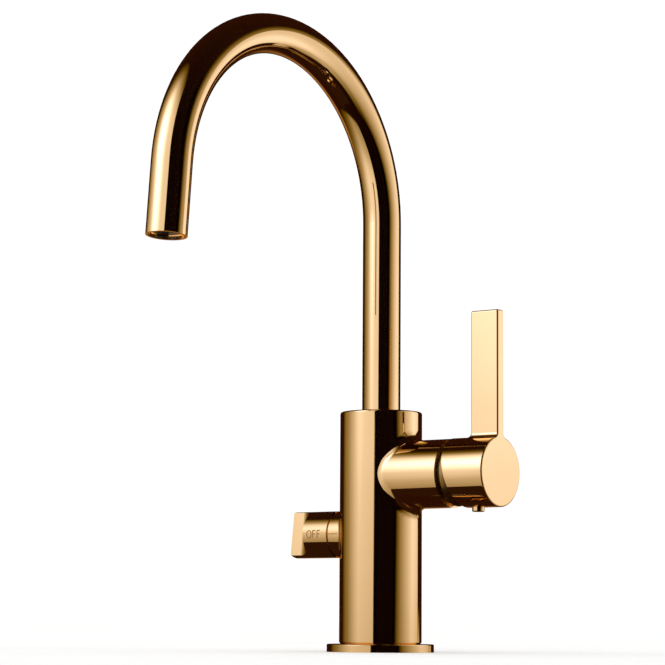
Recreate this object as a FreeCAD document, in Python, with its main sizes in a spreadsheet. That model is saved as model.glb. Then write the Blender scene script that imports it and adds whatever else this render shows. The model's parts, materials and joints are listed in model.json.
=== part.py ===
import FreeCAD, Part
import os
import re
import Sketcher

# Kitchen mixer tap with a swivelling arched spout, a side lever and a dishwasher valve.
# Millimetres and degrees. +Z is up, the origin is the centre of the foot on the worktop,
# the spout points to -Y, the mixing lever is on the +X side and the valve on the -X side.

doc = FreeCAD.newDocument("kitchen_mixer_tap")
sheet = doc.addObject("Spreadsheet::Sheet", "Sizes")

# Driving sizes: word, value, meaning.
SIZES = [
    ("tube_diameter", 22, "outside of the spout tube"),
    ("tube_wall", 1.5, "wall of the spout tube"),
    ("riser_top", 246, "height where the spout starts to bend"),
    ("arch_radius", 93, "bend radius on the tube's centre line"),
    ("arch_sweep", 175, "turn of the bend"),
    ("leg_length", 39.6, "straight tube after the bend"),
    ("body_diameter", 47, "outside of the column"),
    ("body_height", 136.5, "worktop to the column's rim"),
    ("rim_round", 1.2, "rounding of the column's rim"),
    ("foot_bevel", 1, "bevel at the column's lower edge"),
    ("flange_diameter", 61, "outside of the base flange"),
    ("flange_thickness", 4.5, "height of the base flange"),
    ("flange_round", 0.6, "rounding of the flange's upper edge"),
    ("foot_shoulder", 3.5, "ledge between the column and its locating foot"),
    ("foot_wall", 2.5, "wall of the locating foot"),
    ("cavity_height", 26, "depth of the hose chamber in the foot"),
    ("gasket_width", 3.5, "width of the base gasket"),
    ("gasket_thickness", 2, "height of the base gasket"),
    ("branch_height", 100, "height of the lever side's axis"),
    ("branch_diameter", 38.8, "outside of the lever side's sleeve"),
    ("branch_wall", 2.4, "wall of that sleeve"),
    ("branch_length", 50.4, "column axis to the sleeve's open end"),
    ("branch_fillet", 6.5, "blend between that sleeve and the column"),
    ("fit_gap", 0.03, "gap round pieces that are pressed or screwed in"),
    ("running_gap", 0.08, "radial gap of turning fits"),
    ("film_gap", 0.05, "gap between sliding flat faces"),
    ("free_gap", 0.3, "gap between pieces that pass each other"),
    ("overshoot", 1, "how far a cutter runs past the face it opens"),
    ("bearing_depth", 5.5, "depth of the seat for the upper spout bearing"),
    ("bearing_wall", 2.5, "wall of the upper spout bearing"),
    ("bearing_recess", 0.4, "upper bearing below the rim"),
    ("socket_depth", 25.5, "rim to the floor of the spout socket"),
    ("washer_thickness", 1.5, "lower spout bearing"),
    ("spigot_step", 1.3, "spigot beyond the tube's radius"),
    ("spigot_length", 15.4, "wide part of the spigot"),
    ("spigot_neck", 12, "part of the spigot inside the tube"),
    ("spigot_bore", 14, "water bore of the spigot"),
    ("ring_section", 2.4, "section of the spout's sealing rings"),
    ("ring_inset", 2.2, "spigot end to the middle of each sealing ring"),
    ("swivel_limit", 60, "spout swing to each side"),
    ("stop_tip_diameter", 3.6, "tip of the stop screw"),
    ("stop_screw_diameter", 5, "thread of the stop screw"),
    ("stop_depth", 2, "depth of the stop groove"),
    ("stop_tip_length", 2.2, "length of the stop screw's tip"),
    ("screw_recess", 0.8, "grub screws below the surface"),
    ("port_bore", 5, "inlet port in the cartridge discs"),
    ("port_rise", 5, "inlet ports above the branch axis"),
    ("port_spread", 5.5, "inlet ports to each side"),
    ("outlet_bore", 6, "mixed water port in the cartridge discs"),
    ("outlet_drop", 6, "mixed water port below the branch axis"),
    ("mixed_bore", 7, "mixed water drilling up the column axis"),
    ("inlet_forward", 6.5, "inlet drillings from the column axis along X"),
    ("inlet_spread", 8.5, "inlet drillings to each side"),
    ("inlet_bore", 6.5, "inlet drilling up the column"),
    ("hose_thread", 9, "threaded hose ports"),
    ("thread_depth", 14, "depth of the ports in the foot"),
    ("stud_thread", 6.8, "threaded hole for the fixing stud"),
    ("stud_back", 5, "stud hole from the column axis along X"),
    ("stud_side", 10, "stud hole to the side"),
    ("dishwasher_side", 2, "dishwasher port to the side"),
    ("housing_gap", 0.2, "cartridge in its sleeve"),
    ("housing_wall", 2.2, "wall of the cartridge housing"),
    ("base_thickness", 3.5, "cartridge base"),
    ("seal_width", 1.6, "width of a port seal"),
    ("seal_thickness", 1.8, "height of a port seal"),
    ("disc_thickness", 3.5, "ceramic discs of the cartridge"),
    ("moving_disc_inset", 2.6, "moving disc smaller than the housing"),
    ("chamber_diameter", 13.2, "mixing hollow in the moving disc"),
    ("chamber_depth", 2, "depth of the mixing hollow"),
    ("chamber_drop", 1, "mixing hollow below the disc's centre"),
    ("coupler_plate", 2.3, "round plate of the disc coupler"),
    ("coupler_block", 2.9, "raised block of the disc coupler"),
    ("coupler_width", 14, "width of that block"),
    ("coupler_height", 16, "height of that block"),
    ("coupler_gap", 0.8, "coupler to carrier"),
    ("carrier_flange", 3.2, "collar of the carrier"),
    ("carrier_neck", 21.6, "neck of the carrier"),
    ("carrier_reach", 1.6, "carrier beyond the sleeve's end"),
    ("carrier_slot_height", 14, "slot for the tilting stem"),
    ("lug_width", 3, "guide lugs of the carrier"),
    ("lug_height", 12, "length of the guide lugs"),
    ("lip_thickness", 2, "inward lip of the cartridge housing"),
    ("nut_depth", 4.4, "sleeve end to the cartridge's outer face"),
    ("nut_thread", 3.5, "threaded part of the cartridge nut"),
    ("nut_nose_wall", 2.4, "wall of the nut's nose"),
    ("nut_nose", 4.5, "length of the nut's nose"),
    ("groove_width", 3.1, "shadow groove between sleeve and dome ring"),
    ("groove_depth", 2.8, "depth of that groove"),
    ("dome_neck", 4, "part of the dome ring behind its shoulder"),
    ("dome_reach", 9.4, "sleeve end to the dome ring's front"),
    ("dome_gap", 0.2, "dome ring to the hub that slides over it"),
    ("dome_opening", 25, "opening of the dome ring"),
    ("hub_diameter", 39.2, "outside of the lever hub"),
    ("hub_lip", 0.1, "hub radius beyond its hollow's radius"),
    ("hub_face", 31.6, "sleeve end to the hub's flat outer face"),
    ("hub_rim", 5.8, "sleeve end to the middle of the hub's slanted rim"),
    ("rim_slant", 12, "slant of the hub's rim"),
    ("edge_round", 1, "rounding of the lever's outer edges"),
    ("side_round", 0.8, "rounding of the lever's inner edges"),
    ("lever_width", 18, "wide face of the lever"),
    ("lever_thickness", 6.2, "thickness of the lever"),
    ("lever_length", 90.4, "branch axis to the lever's top"),
    ("lever_fillet", 3, "blend between lever and hub"),
    ("pivot_inset", 1.9, "tilt axis inside the sleeve's end"),
    ("pivot_diameter", 3, "pin of the tilt axis"),
    ("flow_travel", 18, "lever tilt from shut to full flow"),
    ("stem_section", 8, "square of the stem"),
    ("stem_length", 27, "stem beyond its pivot"),
    ("stem_boss", 9, "round part of the stem at its pivot"),
    ("arm_diameter", 4.4, "inner arm of the stem"),
    ("ball_diameter", 5.6, "ball on the inner arm"),
    ("ball_depth", 1.7, "ball centre below the coupler's top"),
    ("plug_place", 16.6, "sleeve end to the screw plug's axis"),
    ("plug_diameter", 7, "plug over the lever's grub screw"),
    ("plug_stand", 2.3, "plug standing out of the hub"),
    ("plug_depth", 4, "plug inside the hub"),
    ("plug_round", 0.7, "rounding of the plug's end"),
    ("grub_diameter", 4, "grub screws of lever and knob"),
    ("hex_key", 2, "key size of the grub screws"),
    ("key_depth", 2.5, "depth of their sockets"),
    ("valve_height", 67, "height of the dishwasher valve's axis"),
    ("valve_diameter", 27, "outside of the valve's boss and knob"),
    ("boss_length", 27.9, "column axis to the boss's end"),
    ("boss_fillet", 2, "blend between the boss and the column"),
    ("index_width", 0.4, "index line on the boss"),
    ("index_depth", 0.25, "depth of the index line"),
    ("valve_thread", 21, "thread of the valve headwork"),
    ("thread_length", 13.9, "length of that thread"),
    ("pocket_step", 0.5, "valve pocket smaller than its thread"),
    ("nose_diameter", 17.2, "nose of the headwork"),
    ("nose_wall", 1.7, "wall of that nose"),
    ("nose_length", 6, "nose ahead of the thread"),
    ("window_width", 7, "side openings of the nose"),
    ("window_length", 2.4, "length of those openings"),
    ("seat_washer", 2, "rubber washer under the headwork"),
    ("valve_inlet_side", 4, "valve feed drilling to the side"),
    ("valve_bore", 6, "drillings to and from the valve"),
    ("valve_disc", 2.5, "ceramic discs of the valve"),
    ("collar_diameter", 23, "collar of the headwork"),
    ("collar_thickness", 1.6, "thickness of the collar"),
    ("hex_size", 17, "hexagon of the headwork"),
    ("hex_length", 4.5, "length of the hexagon"),
    ("headwork_neck", 12, "neck of the headwork"),
    ("neck_length", 2, "length of that neck"),
    ("spindle_diameter", 8, "valve spindle"),
    ("spindle_foot", 3.2, "wide foot of the spindle"),
    ("tongue_width", 3, "tongue that turns the valve disc"),
    ("tongue_length", 1.2, "depth of that tongue"),
    ("spindle_ring", 1.5, "section of the spindle's sealing rings"),
    ("ring_pitch", 4, "spacing of those rings"),
    ("headwork_ring", 1.5, "section of the headwork's sealing ring"),
    ("clip_thickness", 1, "spring clip on the spindle"),
    ("clip_diameter", 12, "outside of the spring clip"),
    ("clip_groove", 0.6, "depth of the clip's groove"),
    ("square_size", 6, "square end of the spindle"),
    ("square_length", 7, "length of the square end"),
    ("knob_gap", 1.3, "boss to knob"),
    ("knob_wall", 1.6, "wall of the knob's skirt"),
    ("knob_barrel", 17.1, "round part of the knob"),
    ("knob_length", 31.1, "whole knob"),
    ("knob_round", 0.6, "rounding of the knob's end"),
    ("blade_thickness", 10, "grip blade of the knob"),
    ("blade_blend", 6.5, "hollow between the barrel and the blade"),
    ("blade_turn", 7, "lean of the blade from upright"),
    ("knob_screw_place", 12.8, "knob's inner end to its grub screw"),
    ("aerator_recess", 2.2, "aerator inside the tube's mouth"),
    ("bush_wall", 1.2, "wall of the aerator's threaded bush"),
    ("bush_length", 12, "length of that bush"),
    ("insert_wall", 1.1, "wall of the aerator insert"),
    ("insert_plate", 1.6, "perforated plate of the insert"),
    ("insert_length", 9, "length of the insert"),
    ("insert_recess", 0.6, "insert inside its bush"),
    ("jet_diameter", 1.5, "holes of the perforated plate"),
    ("jet_pitch", 2.2, "spacing of those holes"),
    ("aerator_washer", 1.6, "rubber washer above the insert"),
]
for row, (word, number, meaning) in enumerate(SIZES, start=1):
    sheet.set(f"A{row}", meaning)
    sheet.set(f"B{row}", str(number))
    sheet.setAlias(f"B{row}", word)
doc.recompute()

# Places that follow from the driving sizes.
PLACES = {
    "tube_radius": "tube_diameter / 2",
    "tube_bore": "tube_radius - tube_wall",
    "body_radius": "body_diameter / 2",
    "flange_radius": "flange_diameter / 2",
    "foot_radius": "body_radius - foot_shoulder",
    "cavity_radius": "foot_radius - foot_wall",
    "gasket_middle": "(flange_radius + foot_radius) / 2",
    "port_top": "cavity_height + thread_depth",
    # Spout socket, from the rim down.
    "bearing_bore": "tube_radius + running_gap",
    "bearing_radius": "bearing_bore + bearing_wall",
    "bearing_seat": "body_height - bearing_depth",
    "spigot_radius": "tube_radius + spigot_step",
    "socket_radius": "spigot_radius + running_gap",
    "socket_floor": "body_height - socket_depth",
    "spigot_bottom": "socket_floor + washer_thickness + film_gap",
    "spigot_top": "spigot_bottom + spigot_length",
    "spout_ring_radius": "socket_radius - fit_gap - ring_section / 2",
    "stop_height": "(spigot_bottom + spigot_top) / 2",
    "stop_groove_floor": "spigot_radius - stop_depth",
    "stop_tip_start": "stop_groove_floor + free_gap",
    "stop_tip_end": "stop_tip_start + stop_tip_length",
    "stop_swing": "swivel_limit + asin((stop_tip_diameter / 2 + free_gap) / stop_tip_start) / 1deg",
    # Lever side, from the sleeve's open end inwards.
    "branch_radius": "branch_diameter / 2",
    "sleeve_bore": "branch_radius - branch_wall",
    "housing_radius": "sleeve_bore - housing_gap",
    "housing_bore": "housing_radius - housing_wall",
    "housing_end": "branch_length - nut_depth",
    "lip_start": "housing_end - lip_thickness",
    "collar_top": "lip_start - free_gap",
    "collar_bottom": "collar_top - carrier_flange",
    "coupler_top": "collar_bottom - coupler_gap",
    "plate_top": "coupler_top - coupler_block",
    "moving_top": "plate_top - coupler_plate",
    "moving_bottom": "moving_top - disc_thickness",
    "fixed_top": "moving_bottom - film_gap",
    "base_top": "fixed_top - disc_thickness",
    "seat": "base_top - base_thickness",
    "moving_radius": "housing_bore - moving_disc_inset",
    "neck_radius": "carrier_neck / 2",
    "carrier_end": "branch_length + carrier_reach",
    "pivot": "branch_length - pivot_inset",
    "closed_tilt": "flow_travel / 2",
    "arm_length": "pivot - coupler_top + ball_depth",
    "disc_drop": "arm_length * sin(closed_tilt)",
    "nut_bore": "neck_radius + free_gap",
    "nut_nose_radius": "nut_bore + nut_nose_wall",
    "nut_end": "housing_end + nut_thread",
    "hub_radius": "hub_diameter / 2",
    "hub_hollow": "hub_radius - hub_lip",
    "dome_radius": "hub_hollow - dome_gap",
    "dome_shoulder": "branch_length + groove_width",
    "dome_front": "branch_length + dome_reach",
    "dome_shoulder_radius": "sqrt(dome_radius^2 - (dome_shoulder - pivot)^2)",
    "dome_front_radius": "sqrt(dome_radius^2 - (dome_front - pivot)^2)",
    "groove_floor": "branch_radius - groove_depth",
    "face": "branch_length + hub_face",
    "hollow_floor": "(dome_front - pivot) * cos(closed_tilt)"
                    " + dome_front_radius * sin(closed_tilt) + free_gap",
    "plug_axis": "branch_length + plug_place",
    "hub_underside": "branch_height - hub_radius",
    "plug_seat": "hub_underside + plug_depth",
    "stem_underside": "branch_height + (plug_axis - pivot - grub_diameter / 4) * tan(closed_tilt)"
                      " - stem_section / 2 / cos(closed_tilt)",
    # Dishwasher valve, measured outwards from the column axis.
    "valve_radius": "valve_diameter / 2",
    "thread_radius": "valve_thread / 2",
    "pocket_radius": "thread_radius - pocket_step",
    "thread_start": "boss_length - thread_length",
    "nose_start": "thread_start - nose_length",
    "pocket_floor": "nose_start - seat_washer",
    "dishwasher_reach": "thread_start - valve_bore / 2 - free_gap",
    "nose_radius": "nose_diameter / 2",
    "nose_bore": "nose_radius - nose_wall",
    "fixed_disc_end": "nose_start + valve_disc",
    "turning_disc_start": "fixed_disc_end + film_gap",
    "turning_disc_end": "turning_disc_start + valve_disc",
    "foot_start": "turning_disc_end + film_gap",
    "foot_end": "foot_start + spindle_foot",
    "nose_hollow_end": "foot_end + film_gap",
    "collar_end": "boss_length + collar_thickness",
    "hex_end": "collar_end + hex_length",
    "headwork_end": "hex_end + neck_length",
    "spindle_radius": "spindle_diameter / 2",
    "spindle_bore": "spindle_radius + running_gap",
    "clip_start": "headwork_end + film_gap",
    "clip_end": "clip_start + clip_thickness",
    "square_start": "clip_end + free_gap + fit_gap",
    "square_end": "square_start + square_length",
    "headwork_ring_place": "boss_length - headwork_ring",
    "headwork_ring_radius": "thread_radius - headwork_ring / 2",
    "spindle_ring_radius": "spindle_bore - fit_gap - spindle_ring / 2",
    "first_ring": "(nose_hollow_end + headwork_end - ring_pitch) / 2",
    "knob_start": "boss_length + knob_gap",
    "knob_step": "knob_start + knob_barrel",
    "knob_end": "knob_start + knob_length",
    "knob_screw_axis": "knob_start + knob_screw_place",
    # Spout mouth.
    "mouth_turn": "arch_sweep - 180",
    "arch_end_y": "arch_radius * (cos(arch_sweep) - 1)",
    "arch_end_z": "riser_top + arch_radius * sin(arch_sweep)",
    "mouth_y": "arch_end_y - leg_length * sin(arch_sweep)",
    "mouth_z": "arch_end_z + leg_length * cos(arch_sweep)",
    "bush_radius": "tube_bore - fit_gap",
    "bush_bore": "bush_radius - bush_wall",
    "bush_top": "aerator_recess + bush_length",
    "insert_radius": "bush_bore - fit_gap",
    "insert_start": "aerator_recess + insert_recess",
    "insert_top": "insert_start + insert_length",
}
DRIVING = {word for word, number, meaning in SIZES}


def formula(text):
    """Spell a formula of words out in cells of the sheet."""

    def spell(found):
        word = found.group()
        if word in DRIVING:
            return f"Sizes.{word}"
        if word in PLACES:
            return f"({formula(PLACES[word])})"
        return word

    return re.sub(r"(?<![0-9a-z_])[a-z_]+", spell, text)


def value(text):
    return float(sheet.evalExpression(formula(text)))


def bind(thing, **formulas):
    for name, text in formulas.items():
        thing.setExpression(name, formula(text))


def place(thing, x="0", y="0", z="0", axis=(0, 0, 1), turn="0", offset=None):
    """Bind a placement: a point, a turn about an axis there, and an offset in the turned frame."""
    spot = f"vector({formula(x)}; {formula(y)}; {formula(z)})"
    spin = f"rotation(vector({axis[0]}; {axis[1]}; {axis[2]}); {formula(turn)})"
    text = f"placement({spot}; {spin})"
    if offset:
        shift = "; ".join(formula(part) for part in offset)
        text += f" * placement(vector({shift}); rotation(vector(0; 0; 1); 0))"
    thing.setExpression("Placement", text)
    return thing


# Solids from primitives.

TURNS = {"z": ((0, 0, 1), "0"), "x": ((0, 1, 0), "90"), "-x": ((0, 1, 0), "-90"), "y": ((1, 0, 0), "-90")}


def rod(name, radius, start, end, x="0", y="0", z="0", along="z"):
    """Cylinder on an axis through (x, y, z), from start to end along that axis."""
    thing = doc.addObject("Part::Cylinder", name)
    bind(thing, Radius=radius, Height=f"({end}) - ({start})")
    axis, turn = TURNS[along]
    return place(thing, x, y, z, axis, turn, ("0", "0", start))


def block(name, x, y, z):
    """Box between a low and a high formula along each axis."""
    thing = doc.addObject("Part::Box", name)
    sides = [f"({high}) - ({low})" for low, high in (x, y, z)]
    bind(thing, Length=sides[0], Width=sides[1], Height=sides[2])
    return place(thing, x[0], y[0], z[0])


def both_sides(half):
    return f"-({half})", half


def hexagon(name, flats, start, end, along="x"):
    """Hexagonal bar, its size given across the flats."""
    thing = doc.addObject("Part::Prism", name)
    thing.Polygon = 6
    bind(thing, Circumradius=f"({flats}) / sqrt(3)", Height=f"({end}) - ({start})")
    axis, turn = TURNS[along]
    return place(thing, "0", "0", "0", axis, turn, ("0", "0", start))


def ring(name, middle, section, along):
    """Round sealing ring on the lying axis."""
    thing = doc.addObject("Part::Torus", name)
    bind(thing, Radius1=middle, Radius2=f"({section}) / 2")
    return place(thing, x=along, axis=(0, 1, 0), turn="90")


def joined(name, things):
    thing = doc.addObject("Part::MultiFuse", name)
    thing.Shapes = things
    return thing


def group(name, things):
    thing = doc.addObject("Part::Compound", name)
    thing.Links = things
    return thing


def cut(name, base, tools):
    thing = doc.addObject("Part::Cut", name)
    thing.Base = base
    thing.Tool = tools[0] if len(tools) == 1 else joined(f"{name}_cutters", tools)
    return thing


def rounded(name, base, radius, edges):
    """Fillet of one radius on numbered edges."""
    thing = doc.addObject("Part::Fillet", name)
    thing.Base = base
    thing.Edges = [(number, value(radius), value(radius)) for number in edges]
    doc.recompute()
    return thing


# Solids from sketches.

def sketch_on(body, role, name):
    sketch = body.newObject("Sketcher::SketchObject", name)
    plane = next(item for item in body.Origin.OriginFeatures if item.Role == role)
    sketch.AttachmentSupport = (plane, [""])
    sketch.MapMode = "FlatFace"
    return sketch


def pin_point(sketch, shape, end, x, y):
    """Hold a point of the sketch at two formulas."""
    for kind, text, axis in (("DistanceX", x, -2), ("DistanceY", y, -1)):
        if text == "0":
            sketch.addConstraint(Sketcher.Constraint("PointOnObject", shape, end, axis))
        else:
            rule = Sketcher.Constraint(kind, -1, 1, shape, end, value(text))
            sketch.setExpression(f"Constraints[{sketch.addConstraint(rule)}]", formula(text))


def outline(sketch, points, arcs=()):
    """Closed outline through points of two formulas.

    arcs holds (number, x, y): the stretch after that point is an arc whose centre has that x or,
    where x is None, that y.
    """
    corners = [FreeCAD.Vector(value(x), value(y), 0) for x, y in points]
    round_stretches = {number: (x, y) for number, x, y in arcs}
    for number, start in enumerate(corners):
        end = corners[(number + 1) % len(corners)]
        if number not in round_stretches:
            sketch.addGeometry(Part.LineSegment(start, end))
            continue
        centre = arc_centre(start, end, *round_stretches[number])
        bulge = (start + end) / 2 - centre
        middle = centre + bulge.normalize() * (start - centre).Length
        sketch.addGeometry(Part.Arc(start, middle, end))
    ends = [joint_ends(sketch, number, start) for number, start in enumerate(corners)]
    for number, (here, there) in enumerate(ends):
        following = (number + 1) % len(ends)
        rule = Sketcher.Constraint("Coincident", number, there, following, ends[following][0])
        sketch.addConstraint(rule)
        pin_point(sketch, number, here, *points[number])
    for number, (x, y) in round_stretches.items():
        pin_centre(sketch, number, x, y)


def joint_ends(sketch, number, start):
    """Which end of a stretch is its first and which its last: arcs are stored anticlockwise."""
    first = sketch.getPoint(number, 1)
    return (1, 2) if first.distanceToPoint(start) < 1e-6 else (2, 1)


def arc_centre(start, end, x, y):
    """Point of the chord's middle line that has the given x or y."""
    middle = (start + end) / 2
    across = FreeCAD.Vector(start.y - end.y, end.x - start.x, 0)
    if x is not None:
        return middle + across * ((value(x) - middle.x) / across.x)
    return middle + across * ((value(y) - middle.y) / across.y)


def pin_centre(sketch, number, x, y):
    kind, text, axis = ("DistanceX", x, -2) if x is not None else ("DistanceY", y, -1)
    if text == "0":
        sketch.addConstraint(Sketcher.Constraint("PointOnObject", number, 3, axis))
        return
    rule = Sketcher.Constraint(kind, -1, 1, number, 3, value(text))
    sketch.setExpression(f"Constraints[{sketch.addConstraint(rule)}]", formula(text))


def turned(name, axis, points, arcs=(), angle="360"):
    """Turned piece. Upright: points are (radius, height). Lying: (along X, radius)."""
    body = doc.addObject("PartDesign::Body", name)
    sketch = sketch_on(body, "XZ_Plane", f"{name}_profile")
    outline(sketch, points, arcs)
    spin = body.newObject("PartDesign::Revolution", f"{name}_turn")
    spin.Profile = sketch
    spin.ReferenceAxis = (sketch, ["V_Axis" if axis == "upright" else "H_Axis"])
    spin.setExpression("Angle", formula(angle))
    return body


def tube_ring(name, axis, inner, outer, start, end):
    """Plain ring between two radii."""
    if axis == "upright":
        return turned(name, axis, [(inner, start), (outer, start), (outer, end), (inner, end)])
    return turned(name, axis, [(start, inner), (end, inner), (end, outer), (start, outer)])


def disc(name, radius, start, end):
    """Plain disc on the lying axis."""
    return turned(name, "lying", [(start, "0"), (end, "0"), (end, radius), (start, radius)])


nodes = []


def node(thing, label):
    thing.Label = label
    nodes.append(thing)


def on_branch(thing):
    return place(thing, z="branch_height")


def on_valve(thing):
    """The valve's pieces are drawn pointing along +X and turned to the -X side."""
    return place(thing, z="valve_height", turn="180")


# Base.

def base_flange():
    inner = "foot_radius + fit_gap"
    groove_in = "gasket_middle - gasket_width / 2 - fit_gap"
    groove_out = "gasket_middle + gasket_width / 2 + fit_gap"
    points = [
        (inner, "0"),
        (groove_in, "0"),
        (groove_in, "gasket_thickness"),
        (groove_out, "gasket_thickness"),
        (groove_out, "0"),
        ("flange_radius", "0"),
        ("flange_radius", "flange_thickness - flange_round"),
        ("flange_radius - flange_round", "flange_thickness"),
        (inner, "flange_thickness"),
    ]
    node(turned("flange", "upright", points, [(6, "flange_radius - flange_round", None)]), "base_flange")


def base_gasket():
    inner = "gasket_middle - gasket_width / 2"
    outer = "gasket_middle + gasket_width / 2"
    node(tube_ring("gasket", "upright", inner, outer, "0", "gasket_thickness"), "base_gasket")


# Column with its two side branches, drilled for the water.

def column_blank():
    points = [
        ("0", "0"),
        ("foot_radius", "0"),
        ("foot_radius", "flange_thickness"),
        ("body_radius - foot_bevel", "flange_thickness"),
        ("body_radius", "flange_thickness + foot_bevel"),
        ("body_radius", "body_height - rim_round"),
        ("body_radius - rim_round", "body_height"),
        ("0", "body_height"),
    ]
    column = turned("column", "upright", points, [(5, "body_radius - rim_round", None)])
    sleeve = rod("sleeve", "branch_radius", "0", "branch_length", z="branch_height", along="x")
    boss = rod("boss", "valve_radius", "0", "boss_length", z="valve_height", along="-x")
    blank = joined("body_blank", [column, sleeve, boss])
    doc.recompute()
    round_sleeve = meeting_edges(blank, "branch_height", "branch_radius")
    soft = rounded("sleeve_blend", blank, "branch_fillet", round_sleeve)
    round_boss = meeting_edges(soft, "valve_height", "valve_radius")
    return rounded("boss_blend", soft, "boss_fillet", round_boss)


def meeting_edges(blank, height, radius):
    """Edges where a round branch at that height meets the round of the column."""
    found = []
    for number, edge in enumerate(blank.Shape.Edges, start=1):
        points = edge.discretize(9)
        on_column = all(abs((p.x ** 2 + p.y ** 2) ** 0.5 - value("body_radius")) < 1e-3 for p in points)
        on_branch_round = all(abs((p.y ** 2 + (p.z - value(height)) ** 2) ** 0.5 - value(radius)) < 1e-3
                              for p in points)
        if on_column and on_branch_round:
            found.append(number)
    return found


def spout_cutters():
    open_end = "body_height + overshoot"
    return [
        rod("socket", "socket_radius", "socket_floor", open_end),
        rod("bearing_cut", "bearing_radius + fit_gap", "bearing_seat", open_end),
        rod("stop_hole", "stop_screw_diameter / 2 + fit_gap", "socket_radius - overshoot",
            "body_radius + overshoot", z="stop_height", along="y"),
    ]


def water_cutters():
    """Hose chamber, ports and the drillings to the cartridge, the spout and the valve."""
    open_seat = "seat + overshoot"
    open_port = "cavity_height - overshoot"
    inlet_height = "branch_height + port_rise"
    outlet_height = "branch_height - outlet_drop"
    cutters = [
        rod("hose_chamber", "cavity_radius", "-overshoot", "cavity_height"),
        rod("mixed_riser", "mixed_bore / 2", outlet_height, "socket_floor + overshoot"),
        rod("mixed_drilling", "outlet_bore / 2", "0", open_seat, z=outlet_height, along="x"),
        rod("stud_hole", "stud_thread / 2", open_port, "port_top", "-stud_back", "-stud_side"),
    ]
    for side, sign in (("cold", "-"), ("hot", "")):
        spread = f"{sign}inlet_spread"
        port = f"{sign}port_spread"
        cutters += [
            rod(f"{side}_port", "hose_thread / 2", open_port, "port_top", "inlet_forward", spread),
            rod(f"{side}_riser", "inlet_bore / 2", "port_top - overshoot",
                f"{inlet_height} + port_bore / 2 + overshoot", "inlet_forward", spread),
            rod(f"{side}_drilling", "port_bore / 2", "inlet_forward", open_seat,
                y=port, z=inlet_height, along="x"),
        ]
    return cutters


def valve_cutters():
    open_port = "cavity_height - overshoot"
    back = "-dishwasher_reach"
    return [
        rod("dishwasher_port", "hose_thread / 2", open_port, "port_top", back, "dishwasher_side"),
        rod("dishwasher_drilling", "valve_bore / 2", "port_top - overshoot", "valve_height",
            back, "dishwasher_side"),
        rod("valve_feed", "valve_bore / 2", "-pocket_floor - overshoot", "inlet_forward",
            y="-valve_inlet_side", z="valve_height", along="x"),
        rod("valve_pocket", "pocket_radius", "pocket_floor", "thread_start + overshoot",
            z="valve_height", along="-x"),
        rod("valve_thread_hole", "thread_radius + fit_gap", "thread_start", "boss_length + overshoot",
            z="valve_height", along="-x"),
    ]


def tap_body():
    half = "index_width / 2"
    reach = "sqrt(body_radius^2 - valve_radius^2) + boss_fillet"
    index_line = block("index_line", ("-boss_length - overshoot", f"-({reach})"),
                       ("-valve_radius - overshoot", "-valve_radius + index_depth"),
                       (f"valve_height - {half}", f"valve_height + {half}"))
    cartridge_bore = rod("cartridge_bore", "sleeve_bore", "seat", "branch_length + overshoot",
                         z="branch_height", along="x")
    cutters = spout_cutters() + water_cutters() + valve_cutters() + [cartridge_bore, index_line]
    node(cut("tap_body_cut", column_blank(), cutters), "tap_body")


# Spout bearings and stop screw.

def spout_bearings():
    upper = tube_ring("upper_bearing", "upright", "bearing_bore", "bearing_radius",
                      "bearing_seat", "body_height - bearing_recess")
    node(upper, "spout_bearing_upper")
    lower = tube_ring("lower_bearing", "upright", "spigot_bore / 2", "socket_radius - running_gap",
                      "socket_floor", "socket_floor + washer_thickness")
    node(lower, "spout_bearing_lower")


def spout_stop_screw():
    end = "body_radius - screw_recess"
    points = [
        ("stop_tip_start", "0"),
        ("stop_tip_start", "stop_tip_diameter / 2"),
        ("stop_tip_end", "stop_tip_diameter / 2"),
        ("stop_tip_end", "stop_screw_diameter / 2"),
        (end, "stop_screw_diameter / 2"),
        (end, "0"),
    ]
    blank = turned("stop_blank", "lying", points)
    key = hexagon("stop_key", "hex_key", f"{end} - key_depth", f"{end} + overshoot")
    screw = cut("stop_screw", blank, [key])
    node(place(screw, z="stop_height", turn="90"), "spout_stop_screw")


# Spout.

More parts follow.
